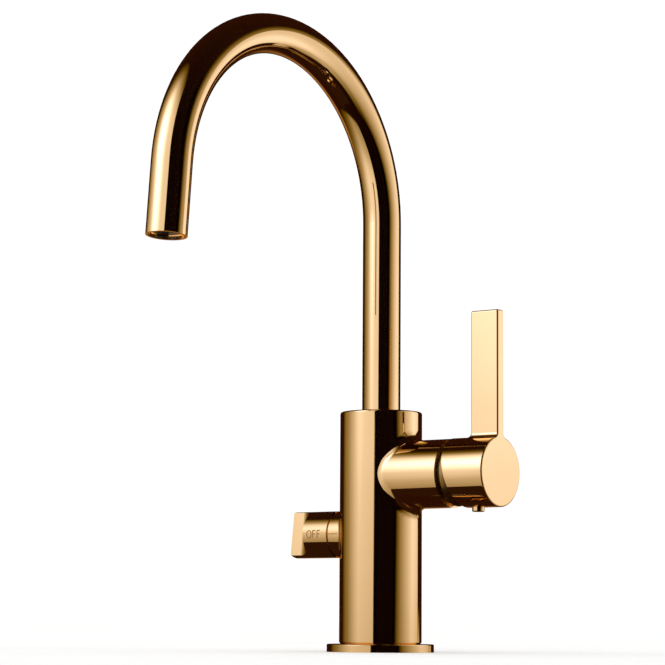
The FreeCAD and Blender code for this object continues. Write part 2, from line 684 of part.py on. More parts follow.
def spout_tube():
    body = doc.addObject("PartDesign::Body", "tube")
    path = sketch_on(body, "YZ_Plane", "tube_path")
    bottom = FreeCAD.Vector(0, value("spigot_top"), 0)
    bend = FreeCAD.Vector(0, value("riser_top"), 0)
    centre = FreeCAD.Vector(-value("arch_radius"), value("riser_top"), 0)
    top = centre + FreeCAD.Vector(0, value("arch_radius"), 0)
    bend_end = FreeCAD.Vector(value("arch_end_y"), value("arch_end_z"), 0)
    mouth = FreeCAD.Vector(value("mouth_y"), value("mouth_z"), 0)
    path.addGeometry(Part.LineSegment(bottom, bend))
    path.addGeometry(Part.Arc(bend, top, bend_end))
    path.addGeometry(Part.LineSegment(bend_end, mouth))
    path.addConstraint(Sketcher.Constraint("Coincident", 0, 2, 1, 1))
    path.addConstraint(Sketcher.Constraint("Coincident", 1, 2, 2, 1))
    pin_point(path, 0, 1, "0", "spigot_top")
    pin_point(path, 0, 2, "0", "riser_top")
    pin_point(path, 1, 2, "arch_end_y", "arch_end_z")
    pin_centre(path, 1, None, "riser_top")
    pin_point(path, 2, 2, "mouth_y", "mouth_z")
    section = sketch_on(body, "XY_Plane", "tube_section")
    section.setExpression("AttachmentOffset.Base.z", formula("spigot_top"))
    for number, radius in enumerate(("tube_radius", "tube_bore")):
        section.addGeometry(Part.Circle(FreeCAD.Vector(), FreeCAD.Vector(0, 0, 1), value(radius)))
        section.addConstraint(Sketcher.Constraint("Coincident", number, 3, -1, 1))
        rule = section.addConstraint(Sketcher.Constraint("Radius", number, value(radius)))
        section.setExpression(f"Constraints[{rule}]", formula(radius))
    doc.recompute()
    pipe = body.newObject("PartDesign::AdditivePipe", "tube_pipe")
    pipe.Profile = section
    pipe.Spine = path
    node(body, "spout_tube")


def spigot_groove(name, middle, width, floor, angle="360"):
    """Ring cutter round the spigot, at a height."""
    half = f"({width}) / 2"
    low, high = f"{middle} - {half}", f"{middle} + {half}"
    outer = "spigot_radius + overshoot"
    return turned(name, "upright", [(floor, low), (outer, low), (outer, high), (floor, high)], (), angle)


def spout_ring_heights():
    return "spigot_bottom + ring_inset", "spigot_top - ring_inset"


def spout_spigot():
    points = [
        ("spigot_bore / 2", "spigot_bottom"),
        ("spigot_radius", "spigot_bottom"),
        ("spigot_radius", "spigot_top"),
        ("tube_bore - fit_gap", "spigot_top"),
        ("tube_bore - fit_gap", "spigot_top + spigot_neck"),
        ("spigot_bore / 2", "spigot_top + spigot_neck"),
    ]
    blank = turned("spigot_blank", "upright", points)
    grooves = []
    for number, height in enumerate(spout_ring_heights()):
        grooves.append(spigot_groove(f"ring_groove_{number}", height, "ring_section + free_gap",
                                     "spout_ring_radius - ring_section / 2 - fit_gap"))
    stop = spigot_groove("stop_groove", "stop_height", "stop_tip_diameter + 2 * free_gap",
                         "stop_groove_floor", "2 * stop_swing")
    place(stop, turn="90 - stop_swing")
    node(cut("spigot", blank, grooves + [stop]), "spout_spigot")


def spout_o_rings():
    rings = []
    for number, height in enumerate(spout_ring_heights()):
        thing = doc.addObject("Part::Torus", f"spout_ring_{number}")
        bind(thing, Radius1="spout_ring_radius", Radius2="ring_section / 2")
        rings.append(place(thing, z=height))
    node(group("spout_rings", rings), "spout_o_rings")


def at_mouth(thing):
    return place(thing, y="mouth_y", z="mouth_z", axis=(1, 0, 0), turn="mouth_turn")


def jet_grid(sketch):
    """Holes in a honeycomb grid, three rings round the middle one."""
    rings = 3
    number = 0
    for row in range(-rings, rings + 1):
        for step in range(-rings, rings + 1):
            if abs(row + step) > rings:
                continue
            x = f"{step + row / 2} * jet_pitch" if step + row / 2 else "0"
            y = f"{row} * jet_pitch * sqrt(3) / 2" if row else "0"
            spot = FreeCAD.Vector(value(x), value(y), 0)
            sketch.addGeometry(Part.Circle(spot, FreeCAD.Vector(0, 0, 1), value("jet_diameter / 2")))
            pin_point(sketch, number, 3, x, y)
            rule = sketch.addConstraint(Sketcher.Constraint("Radius", number, value("jet_diameter / 2")))
            sketch.setExpression(f"Constraints[{rule}]", formula("jet_diameter / 2"))
            number += 1


def aerator():
    bush = tube_ring("bush", "upright", "bush_bore", "bush_radius", "aerator_recess", "bush_top")
    node(at_mouth(bush), "aerator_bush")
    inside = "insert_radius - insert_wall"
    plate_top = "insert_start + insert_plate"
    points = [
        ("0", "insert_start"),
        ("insert_radius", "insert_start"),
        ("insert_radius", "insert_top"),
        (inside, "insert_top"),
        (inside, plate_top),
        ("0", plate_top),
    ]
    insert = turned("insert", "upright", points)
    holes = sketch_on(insert, "XY_Plane", "jets")
    jet_grid(holes)
    doc.recompute()
    solid_volume = insert.Shape.Volume
    pocket = insert.newObject("PartDesign::Pocket", "jet_holes")
    pocket.Profile = holes
    pocket.Type = "ThroughAll"
    pocket.Midplane = True
    doc.recompute()
    if insert.Shape.Volume >= solid_volume:
        raise RuntimeError("the jets cut nothing")
    node(at_mouth(insert), "aerator_insert")
    washer = tube_ring("mouth_washer", "upright", inside, "insert_radius",
                       "insert_top", "insert_top + aerator_washer")
    node(at_mouth(washer), "aerator_washer")


# Mixing cartridge.

def port_rods(name, start, end, extra="0"):
    """Two inlet bores and the mixed water bore, on the lying axis."""
    rods = []
    for side, y in (("cold", "-port_spread"), ("hot", "port_spread")):
        rods.append(rod(f"{name}_{side}", f"port_bore / 2 + {extra}", start, end,
                        y=y, z="port_rise", along="x"))
    rods.append(rod(f"{name}_mixed", f"outlet_bore / 2 + {extra}", start, end,
                    z="-outlet_drop", along="x"))
    return rods


def cartridge_base():
    blank = disc("base_blank", "housing_radius", "seat", "base_top")
    holes = port_rods("base_port", "seat - overshoot", "base_top + overshoot")
    seats = port_rods("seal_seat", "seat - overshoot", "seat + seal_thickness", "seal_width")
    node(on_branch(cut("cartridge_base_cut", blank, holes + seats)), "cartridge_base")


def cartridge_seals():
    end = "seat + seal_thickness"
    outsides = port_rods("seal", "seat", end, "(seal_width - fit_gap)")
    insides = port_rods("seal_hole", "seat - overshoot", f"{end} + overshoot")
    seals = [cut(f"port_seal_{number}", outside, [inside])
             for number, (outside, inside) in enumerate(zip(outsides, insides))]
    node(on_branch(group("port_seals", seals)), "cartridge_seals")


def cartridge_fixed_disc():
    blank = disc("fixed_blank", "housing_bore - fit_gap", "base_top", "fixed_top")
    holes = port_rods("fixed_port", "base_top - overshoot", "fixed_top + overshoot")
    node(on_branch(cut("fixed_disc", blank, holes)), "cartridge_fixed_disc")


def cartridge_housing():
    lip_bore = "neck_radius + running_gap"
    points = [
        ("base_top", "housing_bore"),
        ("lip_start", "housing_bore"),
        ("lip_start", lip_bore),
        ("housing_end", lip_bore),
        ("housing_end", "housing_radius"),
        ("base_top", "housing_radius"),
    ]
    node(on_branch(turned("housing", "lying", points)), "cartridge_housing")


def on_sliding_disc(thing):
    """At rest the lever is shut and the sliding disc stands at the low end of its travel."""
    return place(thing, z="branch_height - disc_drop")


def cartridge_moving_disc():
    blank = disc("moving_blank", "moving_radius", "moving_bottom", "moving_top")
    hollow = rod("mixing_hollow", "chamber_diameter / 2", "moving_bottom - overshoot",
                 "moving_bottom + chamber_depth", z="-chamber_drop", along="x")
    node(on_sliding_disc(cut("moving_disc", blank, [hollow])), "cartridge_moving_disc")


def disc_coupler():
    plate = disc("coupler_disc", "moving_radius", "moving_top", "plate_top")
    raised = block("coupler_raised", ("plate_top - overshoot", "coupler_top"),
                   both_sides("coupler_width / 2"), both_sides("coupler_height / 2"))
    socket = rod("ball_socket", "ball_diameter / 2 + running_gap",
                 "coupler_top - ball_depth - ball_diameter / 2 - free_gap", "coupler_top + overshoot",
                 along="x")
    coupler = cut("coupler", joined("coupler_blank", [plate, raised]), [socket])
    node(on_sliding_disc(coupler), "disc_coupler")


def cartridge_carrier():
    points = [
        ("collar_bottom", "0"),
        ("collar_bottom", "housing_bore - free_gap"),
        ("collar_top", "housing_bore - free_gap"),
        ("collar_top", "neck_radius"),
        ("carrier_end", "neck_radius"),
        ("carrier_end", "0"),
    ]
    rotor = turned("rotor", "lying", points)
    lug_in = "coupler_width / 2 + running_gap"
    lug_out = f"{lug_in} + lug_width"
    along = ("plate_top + free_gap", "collar_bottom + overshoot")
    lugs = [
        block("lug_front", along, (f"-({lug_out})", f"-({lug_in})"), both_sides("lug_height / 2")),
        block("lug_back", along, (lug_in, lug_out), both_sides("lug_height / 2")),
    ]
    slot = block("stem_slot", ("plate_top", "carrier_end + overshoot"),
                 both_sides("stem_section / 2 + free_gap / 2"), both_sides("carrier_slot_height / 2"))
    hole = rod("carrier_pin_hole", "pivot_diameter / 2 + fit_gap", "-neck_radius - overshoot",
               "neck_radius + overshoot", x="pivot", along="y")
    carrier = cut("carrier", joined("carrier_blank", [rotor] + lugs), [slot, hole])
    node(on_branch(carrier), "cartridge_carrier")


def stem_pivot_pin():
    half = "sqrt(neck_radius^2 - pivot_diameter^2 / 4) - free_gap"
    pin = rod("pivot_pin", "pivot_diameter / 2", f"-({half})", half, x="pivot", z="branch_height", along="y")
    node(pin, "stem_pivot_pin")


def on_stem(thing):
    """The stem's own frame: origin at the tilt axis, +X along the stem, which points up when shut."""
    return place(thing, x="pivot", z="branch_height", axis=(0, 1, 0), turn="-closed_tilt")


def cartridge_stem():
    half = both_sides("stem_section / 2")
    pieces = [
        block("stem_bar", ("0", "stem_length"), half, half),
        rod("stem_round", "stem_boss / 2", half[0], half[1], along="y"),
        rod("stem_arm", "arm_diameter / 2", "0", "arm_length", along="-x"),
    ]
    ball = doc.addObject("Part::Sphere", "stem_ball")
    bind(ball, Radius="ball_diameter / 2")
    pieces.append(place(ball, x="-arm_length"))
    hole = rod("stem_pin_hole", "pivot_diameter / 2 + running_gap", "-stem_section", "stem_section", along="y")
    node(on_stem(cut("stem", joined("stem_blank", pieces), [hole])), "cartridge_stem")


def cartridge_nut():
    points = [
        ("housing_end", "nut_bore"),
        ("nut_end + nut_nose", "nut_bore"),
        ("nut_end + nut_nose", "nut_nose_radius"),
        ("nut_end", "nut_nose_radius"),
        ("nut_end", "sleeve_bore - fit_gap"),
        ("housing_end", "sleeve_bore - fit_gap"),
    ]
    node(on_branch(turned("nut", "lying", points)), "cartridge_nut")


def dome_ring():
    inside = "nut_nose_radius + fit_gap"
    back = "dome_shoulder - dome_neck"
    seat_end = "nut_end + nut_nose + fit_gap"
    points = [
        (back, inside),
        (seat_end, inside),
        (seat_end, "dome_opening / 2"),
        ("dome_front", "dome_opening / 2"),
        ("dome_front", "dome_front_radius"),
        ("dome_shoulder", "dome_shoulder_radius"),
        ("dome_shoulder", "groove_floor"),
        (back, "groove_floor"),
    ]
    node(on_branch(turned("dome", "lying", points, [(4, None, "0")])), "dome_ring")


# Lever.

def lever_blank():
    """Hub and lever in one piece, with the blend between them."""
    hub = rod("hub", "hub_radius", "pivot", "face", z="branch_height", along="x")
    bar = block("lever_bar", ("face - lever_width", "face"), both_sides("lever_thickness / 2"),
                ("branch_height", "branch_height + lever_length"))
    doc.recompute()
    bar = rounded("lever_bar_round", bar, "side_round", inner_edges(bar))
    whole = joined("lever_whole", [hub, bar])
    whole.Refine = True
    doc.recompute()
    blend = rounded("lever_blend", whole, "lever_fillet", junction_edges(whole))
    return rounded("lever_rounding", blend, "edge_round", sharp_edges(blend))


def inner_edges(bar):
    """The two upright edges of the lever on its column side."""
    found = []
    for number, edge in enumerate(bar.Shape.Edges, start=1):
        box = edge.BoundBox
        if box.ZLength > 1 and abs(box.XMax - value("face - lever_width")) < 1e-3:
            found.append(number)
    return found


def junction_edges(whole):
    """Edges where the lever meets the round of the hub."""
    height, radius = value("branch_height"), value("hub_radius")
    found = []
    for number, edge in enumerate(whole.Shape.Edges, start=1):
        points = edge.discretize(9)
        on_hub = all(abs(((p.z - height) ** 2 + p.y ** 2) ** 0.5 - radius) < 1e-3 for p in points)
        near_bar = all(abs(p.y) < value("lever_thickness / 2") + 1e-3 and p.z > height for p in points)
        if on_hub and near_bar and abs(points[0].x - value("face")) + abs(points[-1].x - value("face")) > 1e-3:
            found.append(number)
    return found


def sharp_edges(blend):
    """Edges of the flat outer face and of the lever's top."""
    top = value("branch_height + lever_length")
    found = []
    for number, edge in enumerate(blend.Shape.Edges, start=1):
        points = edge.discretize(5)
        on_face = all(abs(p.x - value("face")) < 1e-3 for p in points)
        on_top = all(abs(p.z - top) < 1e-3 for p in points)
        if on_face or on_top:
            found.append(number)
    return found


def mixer_lever():
    hollow = doc.addObject("Part::Sphere", "hub_hollow_cut")
    bind(hollow, Radius="hub_hollow", Angle2="asin(hollow_floor / hub_hollow)")
    place(hollow, x="pivot", z="branch_height", axis=(0, 1, 0), turn="90 - closed_tilt")
    reach = "hub_diameter"
    rim = doc.addObject("Part::Box", "rim_cut")
    bind(rim, Length=reach, Width=f"2 * {reach}", Height=f"2 * {reach}")
    place(rim, "branch_length + hub_rim", "0", "branch_height", (0, 1, 0), "-rim_slant",
          (f"-{reach}", f"-{reach}", f"-{reach}"))
    half = both_sides("stem_section / 2 + fit_gap")
    socket = block("stem_socket", ("0", "stem_length + free_gap"), half, half)
    place(socket, "pivot", "0", "branch_height", (0, 1, 0), "-closed_tilt", ("0", half[0], half[0]))
    grub_hole = rod("grub_hole", "grub_diameter / 2 + fit_gap", "hub_underside", "branch_height", x="plug_axis")
    plug_hole = rod("plug_hole", "plug_diameter / 2 + fit_gap", "hub_underside - overshoot", "plug_seat",
                    x="plug_axis")
    lever = cut("lever", lever_blank(), [hollow, rim, socket, grub_hole, plug_hole])
    node(lever, "mixer_lever")


def grub_screw(name, start, end):
    """Grub screw drawn along +X, with its point at start and its key socket at end."""
    tip = "grub_diameter / 4"
    points = [
        (start, "0"),
        (start, tip),
        (f"{start} + {tip}", "grub_diameter / 2"),
        (end, "grub_diameter / 2"),
        (end, "0"),
    ]
    blank = turned(f"{name}_blank", "lying", points)
    key = hexagon(f"{name}_key", "hex_key", f"{end} - key_depth", f"{end} + overshoot")
    return cut(name, blank, [key])


def lever_screw():
    length = "stem_underside - film_gap - plug_seat - free_gap"
    screw = grub_screw("lever_grub", "0", length)
    place(screw, x="plug_axis", z="stem_underside - film_gap", axis=(0, 1, 0), turn="90")
    node(screw, "lever_grub_screw")
    low = "hub_underside - plug_stand"
    radius = "plug_diameter / 2"
    points = [
        ("0", low),
        (f"{radius} - plug_round", low),
        (radius, f"{low} + plug_round"),
        (radius, "plug_seat"),
        ("0", "plug_seat"),
    ]
    plug = turned("plug", "upright", points, [(1, f"{radius} - plug_round", None)])
    node(place(plug, x="plug_axis"), "lever_screw_plug")


# Dishwasher valve.

def valve_headwork():
    ring_floor = "headwork_ring_radius - headwork_ring / 2 - fit_gap"
    points = [
        ("nose_start", "nose_bore"),
        ("nose_hollow_end", "nose_bore"),
        ("nose_hollow_end", "spindle_bore"),
        ("headwork_end", "spindle_bore"),
        ("headwork_end", "headwork_neck / 2"),
        ("collar_end", "headwork_neck / 2"),
        ("collar_end", "collar_diameter / 2"),
        ("boss_length", "collar_diameter / 2"),
        ("boss_length", ring_floor),
        ("headwork_ring_place - headwork_ring", ring_floor),
        ("headwork_ring_place - headwork_ring", "thread_radius"),
        ("thread_start", "thread_radius"),
        ("thread_start", "nose_radius"),
        ("nose_start", "nose_radius"),
    ]
    blank = turned("headwork_blank", "lying", points)
    bar = cut("hex_ring", hexagon("hex_bar", "hex_size", "collar_end - film_gap", "hex_end"),
              [rod("hex_hole", "spindle_bore", "collar_end - overshoot", "hex_end + overshoot", along="x")])
    window = block("windows", ("turning_disc_start", "turning_disc_start + window_length"),
                   both_sides("window_width / 2"), both_sides("nose_radius + overshoot"))
    headwork = cut("headwork", joined("headwork_whole", [blank, bar]), [window])
    node(on_valve(headwork), "valve_headwork")


def valve_seals():
    washer = tube_ring("seat_washer_ring", "lying", "nose_bore", "nose_radius", "pocket_floor", "nose_start")
    node(on_valve(washer), "valve_seat_washer")
    seal = ring("headwork_seal", "headwork_ring_radius", "headwork_ring", "headwork_ring_place")
    node(on_valve(group("headwork_seal_ring", [seal])), "valve_headwork_o_ring")
    rings = [ring(f"spindle_seal_{number}", "spindle_ring_radius", "spindle_ring",
                  f"first_ring + {number} * ring_pitch") for number in range(2)]
    node(on_valve(group("spindle_seals", rings)), "valve_spindle_o_rings")


def valve_discs():
    """Two ceramic discs, each with a pair of openings that line up when the knob is turned."""
    fixed = disc("valve_fixed_blank", "nose_bore - fit_gap", "nose_start", "fixed_disc_end")
    openings = [rod(f"fixed_opening_{number}", "nose_bore / 4", "nose_start - overshoot",
                    "fixed_disc_end + overshoot", y=f"{side} * nose_bore / 2", along="x")
                for number, side in enumerate((-1, 1))]
    node(on_valve(cut("valve_fixed", fixed, openings)), "valve_fixed_disc")
    moving = disc("valve_moving_blank", "nose_bore - running_gap", "turning_disc_start", "turning_disc_end")
    openings = [rod(f"moving_opening_{number}", "nose_bore / 4", "turning_disc_start - overshoot",
                    "turning_disc_end + overshoot", z=f"{side} * nose_bore / 2", along="x")
                for number, side in enumerate((-1, 1))]
    slot = block("tongue_slot", ("turning_disc_end - tongue_length - fit_gap", "turning_disc_end + overshoot"),
                 both_sides("nose_bore"), both_sides("tongue_width / 2 + fit_gap"))
    node(on_valve(cut("valve_moving", moving, openings + [slot])), "valve_moving_disc")


def valve_spindle():
    foot = "nose_bore - running_gap"
    clip_floor = "spindle_radius - clip_groove"
    points = [
        ("foot_start", "0"),
        ("foot_start", foot),
        ("foot_end", foot),
        ("foot_end", "spindle_radius"),
        ("clip_start", "spindle_radius"),
        ("clip_start", clip_floor),
        ("clip_end + fit_gap", clip_floor),
        ("clip_end + fit_gap", "spindle_radius"),
        ("square_start", "spindle_radius"),
        ("square_start", "0"),
    ]
    shaft = turned("spindle_shaft", "lying", points)
    half = both_sides("square_size / 2")
    square = block("spindle_square", ("square_start - free_gap", "square_end"), half, half)
    tongue_block = block("spindle_tongue", ("turning_disc_end - tongue_length", "foot_start + overshoot"),
                         both_sides("nose_bore"), both_sides("tongue_width / 2"))
    tongue = doc.addObject("Part::Common", "spindle_tongue_round")
    tongue.Base = tongue_block
    tongue.Tool = disc("tongue_limit", foot, "nose_start", "foot_end")
    whole = joined("spindle_whole", [shaft, square, tongue])
    grooves = []
    for number in range(2):
        middle = f"first_ring + {number} * ring_pitch"
        half_width = "spindle_ring / 2 + running_gap"
        grooves.append(tube_ring(f"spindle_groove_{number}", "lying",
                                 "spindle_ring_radius - spindle_ring / 2 - fit_gap",
                                 "spindle_radius + overshoot",
                                 f"{middle} - ({half_width})", f"{middle} + {half_width}"))
    node(on_valve(cut("spindle", whole, grooves)), "valve_spindle")


def valve_clip():
    full = tube_ring("clip_ring", "lying", "spindle_radius - clip_groove + fit_gap", "clip_diameter / 2",
                     "clip_start + fit_gap / 2", "clip_end + fit_gap / 2")
    mouth = block("clip_mouth", ("clip_start - overshoot", "clip_end + overshoot"),
                  both_sides("(spindle_radius - clip_groove) * 0.8"), ("0", "clip_diameter"))
    node(on_valve(cut("clip", full, [mouth])), "valve_spindle_clip")


def knob_scoop(name, turn):
    """Cutter for one flank of the grip blade: a flat with a round hollow at its foot."""
    body = doc.addObject("PartDesign::Body", name)
    sketch = sketch_on(body, "XY_Plane", f"{name}_outline")
    flank = "blade_thickness / 2"
    far = "valve_radius + overshoot"
    points = [
        ("knob_step", far),
        ("knob_step", f"{flank} + blade_blend"),
        ("knob_step + blade_blend", flank),
        ("knob_end + overshoot", flank),
        ("knob_end + overshoot", far),
    ]
    outline(sketch, points, [(1, "knob_step + blade_blend", None)])
    pad = body.newObject("PartDesign::Pad", f"{name}_pad")
    pad.Profile = sketch
    bind(pad, Length="2 * valve_diameter")
    pad.Midplane = True
    return place(body, axis=(1, 0, 0), turn=turn)


def valve_knob():
    skirt_end = "clip_end + free_gap"
    points = [
        (skirt_end, "0"),
        (skirt_end, "valve_radius - knob_wall"),
        ("knob_start", "valve_radius - knob_wall"),
        ("knob_start", "valve_radius"),
        ("knob_end - knob_round", "valve_radius"),
        ("knob_end", "valve_radius - knob_round"),
        ("knob_end", "0"),
    ]
    blank = turned("knob_blank", "lying", points, [(4, "knob_end - knob_round", None)])
    half = both_sides("square_size / 2 + fit_gap")
    socket = block("square_socket", (f"{skirt_end} - overshoot", "square_end + free_gap"), half, half)
    hole = rod("knob_screw_hole", "grub_diameter / 2 + fit_gap", "-valve_radius - overshoot", "0",
               x="knob_screw_axis", along="y")
    scoops = [knob_scoop("scoop_front", "blade_turn"), knob_scoop("scoop_back", "180 + blade_turn")]
    node(on_valve(cut("knob", blank, scoops + [socket, hole])), "valve_knob")
    screw = grub_screw("knob_grub", "square_size / 2 + film_gap", "valve_radius - screw_recess")
    place(screw, x="-(knob_screw_axis)", z="valve_height", turn="90")
    node(screw, "valve_knob_screw")


BUILDERS = [
    base_flange, base_gasket, tap_body, spout_bearings, spout_stop_screw,
    spout_tube, spout_spigot, spout_o_rings, aerator,
    cartridge_base, cartridge_seals, cartridge_fixed_disc, cartridge_housing, cartridge_nut, dome_ring,
    cartridge_carrier, stem_pivot_pin, cartridge_moving_disc, disc_coupler,
    cartridge_stem, mixer_lever, lever_screw,
    valve_headwork, valve_seals, valve_discs, valve_spindle, valve_clip, valve_knob,
]
for build in BUILDERS:
    build()
doc.recompute()

failed = [thing.Name for thing in doc.Objects if {"Invalid", "Error"} & set(thing.State)]
for thing in nodes:
    if thing.Shape.isNull() or not thing.Shape.isValid() or not thing.Shape.Solids:
        failed.append(thing.Label)
if failed:
    raise RuntimeError("these objects failed: " + ", ".join(failed))

os.makedirs("parts", exist_ok=True)
for thing in nodes:
    thing.Shape.exportStep(f"parts/{thing.Label}.step")
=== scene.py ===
"""Looks of the gold kitchen mixer tap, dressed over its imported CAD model."""
import json
import math

import bpy
from mathutils import Matrix, Vector


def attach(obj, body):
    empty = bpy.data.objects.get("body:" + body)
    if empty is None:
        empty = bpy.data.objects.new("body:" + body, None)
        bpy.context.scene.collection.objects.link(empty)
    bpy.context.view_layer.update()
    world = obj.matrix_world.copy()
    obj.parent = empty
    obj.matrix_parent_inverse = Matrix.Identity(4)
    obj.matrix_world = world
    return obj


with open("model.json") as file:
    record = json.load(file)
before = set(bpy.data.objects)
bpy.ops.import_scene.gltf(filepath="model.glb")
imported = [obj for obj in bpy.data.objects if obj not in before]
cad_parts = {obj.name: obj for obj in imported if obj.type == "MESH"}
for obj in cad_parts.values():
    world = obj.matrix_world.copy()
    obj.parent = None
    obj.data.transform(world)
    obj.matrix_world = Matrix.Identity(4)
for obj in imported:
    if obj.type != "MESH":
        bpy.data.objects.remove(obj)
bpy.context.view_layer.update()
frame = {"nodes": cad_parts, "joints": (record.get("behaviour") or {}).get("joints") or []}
MM = 0.001
# A Mix node's colour sockets go by number, because its other kinds share their names.
MIX_FROM = 6
MIX_TO = 7
MIX_RESULT = 2


def linear(hex_colour):
    """Linear RGBA of an sRGB hex colour, by the curve of the sRGB standard."""
    channels = [int(hex_colour[i:i + 2], 16) / 255 for i in (1, 3, 5)]
    straight = [c / 12.92 if c <= 0.04045 else ((c + 0.055) / 1.055) ** 2.4 for c in channels]
    return (*straight, 1.0)


def add(tree, kind, settings=None, inputs=None):
    """Add a node, set its properties, and join or set its inputs by name or number."""
    node = tree.nodes.new(kind)
    for name, value in (settings or {}).items():
        setattr(node, name, value)
    for name, value in (inputs or {}).items():
        if isinstance(value, bpy.types.NodeSocket):
            tree.links.new(value, node.inputs[name])
        else:
            node.inputs[name].default_value = value
    return node


# Finishes

METAL = {"Metallic": 1.0}
# Where the two tones of a finish lie on its noise, whose values keep near their middle.
TONE_STOPS = (0.35, 0.65)
# Ways in which a tool draws its marks out. Real tool lines are under 0.1 mm apart, and are drawn two or
# three times as coarse so that they show.
ROUND_X = (1, 0.1, 0.1)
ROUND_Z = (0.1, 0.1, 1)
ALONG_Y = (1, 0.1, 1)


def surface(name, values, tones, drift, roughness=None, marks=None, drawn=(1, 1, 1), waves=None,
            depth=0, bump=0):
    """Material of one finish, with the shader values that are the same all over it.

    The tone drifts between two colours over patches as wide as drift. Where a roughness is given, it runs
    from low to high over marks of their own width, drawn out along the axes where drawn is under 1. The
    relief follows the waves if there are any, and else the marks. It is as high as depth, and bump is its
    strength. Sizes are in millimetres.
    """
    material = bpy.data.materials.new(name)
    material.use_nodes = True
    tree = material.node_tree
    tree.nodes.clear()
    place = add(tree, "ShaderNodeTexCoord").outputs["Object"]
    patches = add(tree, "ShaderNodeTexNoise", inputs={"Vector": place, "Scale": 1 / (drift * MM)})
    tone = add(tree, "ShaderNodeValToRGB", inputs={"Fac": patches.outputs["Fac"]})
    for element, position, colour in zip(tone.color_ramp.elements, TONE_STOPS, tones):
        element.position = position
        element.color = linear(colour)
    shader = add(tree, "ShaderNodeBsdfPrincipled", inputs={**values, "Base Color": tone.outputs["Color"]})
    add(tree, "ShaderNodeOutputMaterial", inputs={"Surface": shader.outputs["BSDF"]})
    if roughness is None:
        return material
    low, high = roughness
    drawn_place = add(tree, "ShaderNodeMapping", inputs={"Vector": place, "Scale": drawn})
    height = add(tree, "ShaderNodeTexNoise",
                 inputs={"Vector": drawn_place.outputs["Vector"], "Scale": 1 / (marks * MM)}).outputs["Fac"]
    dull = add(tree, "ShaderNodeMapRange", inputs={"Value": height, "To Min": low, "To Max": high})
    tree.links.new(dull.outputs["Result"], shader.inputs["Roughness"])
    if waves:
        height = add(tree, "ShaderNodeTexNoise",
                     inputs={"Vector": place, "Scale": 1 / (waves * MM), "Detail": 0.0}).outputs["Fac"]
    if depth:
        relief = add(tree, "ShaderNodeBump",
                     inputs={"Height": height, "Distance": depth * MM, "Strength": bump})
        tree.links.new(relief.outputs["Normal"], shader.inputs["Normal"])
    return material


# Brass, buffed to a mirror and coated with gold-toned titanium nitride in a vacuum. The eye sees a clear
# mirror of warm gold, which stays gold where it is seen at a flat angle. The coat's tone drifts a little
# along the tap, and the buffing leaves a faint haze and a waviness that bends long reflections.
COATED = {**METAL, "Specular Tint": linear("#FFEFD7")}
GOLD = surface("polished_gold_pvd", COATED, ("#F4D4A3", "#F7D8A8"), drift=60,
               roughness=(0.03, 0.05), marks=9, waves=14, depth=0.012, bump=0.05)
# The same gold coat on a ring that was only turned: fine tool lines spread its reflections and dull them.
# Its tone is darker than the coat's own: painted shade of the gap between the sleeve and the hub, where the
# ring sits.
SATIN_GOLD_AND_GAP_SHADE = surface("satin_gold_pvd_painted_shade", METAL, ("#A8874F", "#B4935B"), drift=12,
                roughness=(0.22, 0.34), marks=0.3, drawn=ROUND_X, depth=0.01, bump=0.2)
# The same gold coat over cut letters: matt, so that they look darker than the mirror round them. Its tone is
# also darker than the coat's own: painted shade of the cuts in the letters and in the index line's groove.
ENGRAVED_GOLD_AND_CUT_SHADE = surface("engraved_gold_painted_shade", METAL, ("#B98D54", "#C99C62"), drift=0.4,
                   roughness=(0.35, 0.5), marks=0.15)
# Bare brass as it leaves the lathe: yellow, with fine tool lines and a few dull patches.
BRASS = surface("turned_brass", METAL, ("#B8904C", "#CDA762"), drift=8,
                roughness=(0.22, 0.4), marks=0.25, drawn=ROUND_Z, depth=0.02, bump=0.3)
# Stainless steel of screws and pins: grey, with fine tool lines.
STEEL = surface("turned_stainless_steel", METAL, ("#A9A8A4", "#BDBCB8"), drift=3,
                roughness=(0.2, 0.36), marks=0.2, drawn=ALONG_Y)
# Lapped alumina of the sealing discs: off-white and glassy, with a very fine speckle.
CERAMIC = surface("lapped_alumina_ceramic", {"IOR": 1.76}, ("#E9E6DE", "#F3F1EB"), drift=0.3,
                  roughness=(0.12, 0.2), marks=0.5)
# Moulded nitrile rubber of rings and washers: nearly black and dull, with a powdery bloom.
RUBBER = surface("moulded_nitrile_rubber", {"IOR": 1.52}, ("#17171A", "#242427"), drift=4,
                 roughness=(0.55, 0.75), marks=0.4, depth=0.02, bump=0.3)
# Moulded acetal plastic, white and black: an even colour, a soft shine and a fine mould texture.
MOULDED = {"values": {"IOR": 1.48}, "drift": 6, "marks": 0.3, "depth": 0.01, "bump": 0.25}
ACETAL = surface("moulded_white_acetal", tones=("#E3E2DB", "#EDECE6"),
                 roughness=(0.35, 0.45), **MOULDED)
BLACK_ACETAL = surface("moulded_black_acetal", tones=("#1A1A1B", "#242425"),
                       roughness=(0.35, 0.5), **MOULDED)

